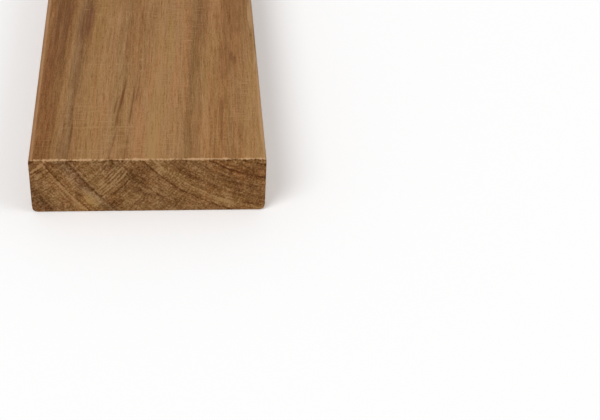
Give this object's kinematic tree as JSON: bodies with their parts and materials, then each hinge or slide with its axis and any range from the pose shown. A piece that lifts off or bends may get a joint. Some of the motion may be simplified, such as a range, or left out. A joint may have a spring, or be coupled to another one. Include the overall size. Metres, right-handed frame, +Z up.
{
  "type": "decking board",
  "caption": "Solid hardwood decking board: a long flat plank with planed faces, eased long edges and square-sawn ends, laid across joists as a walking surface.",
  "frame": {"origin": "middle of the underside, where the board rests", "axes": "+X across the width, +Y along the length, +Z up through the thickness, out of the walking face"},
  "size_m": [0.09, 1.8, 0.025],
  "materials": {
    "hardwood": "planed, unfinished"
  },
  "bodies": {
    "root": {"board": "hardwood"}
  },
  "joints": []
}
